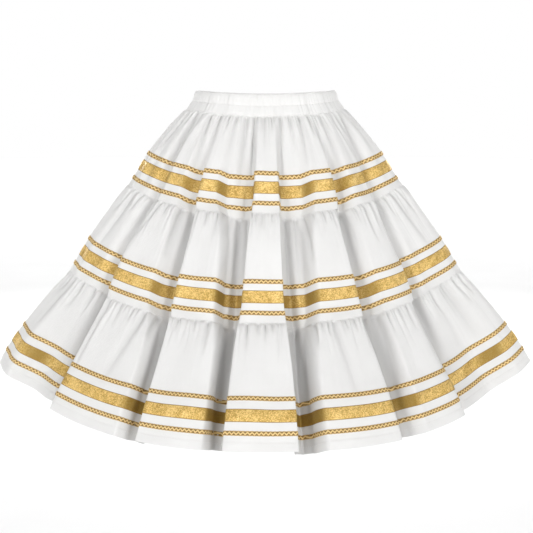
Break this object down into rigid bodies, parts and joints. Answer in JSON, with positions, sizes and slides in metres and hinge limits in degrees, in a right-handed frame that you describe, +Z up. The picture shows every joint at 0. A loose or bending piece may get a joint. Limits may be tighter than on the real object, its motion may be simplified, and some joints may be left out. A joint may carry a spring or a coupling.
{
  "type": "square dance skirt",
  "caption": "Full three-tier white cotton square dance skirt, gathered into each tier and an elastic waistband, with gold ribbon and ric-rac rows.",
  "frame": {"origin": "middle of the waist opening, level with the top edge of the waistband at the side seams, where the wearer holds the skirt up", "axes": "+Z up along the wearer's body, -Y towards the front, +X towards the viewer's right side seam; the widest side-to-side line of the hem lies along X"},
  "size_m": [0.8777, 0.6309, 0.5177],
  "materials": {
    "white_cotton": "matt white plain-weave cotton",
    "gold_ribbon": "satin gold metallic-thread ribbon",
    "gold_braid": "matt gold zigzag ric-rac braid"
  },
  "bodies": {
    "root": {"waistband": "white_cotton", "tier_1_front": "white_cotton", "tier_1_back": "white_cotton", "tier_1_upper_braid": "gold_braid", "tier_1_ribbon": "gold_ribbon", "tier_1_lower_braid": "gold_braid", "tier_2_front": "white_cotton", "tier_2_back": "white_cotton", "tier_2_upper_braid": "gold_braid", "tier_2_ribbon": "gold_ribbon", "tier_2_lower_braid": "gold_braid", "tier_3_front": "white_cotton", "tier_3_back": "white_cotton", "tier_3_upper_braid": "gold_braid", "tier_3_ribbon": "gold_ribbon", "tier_3_lower_braid": "gold_braid"}
  },
  "joints": []
}
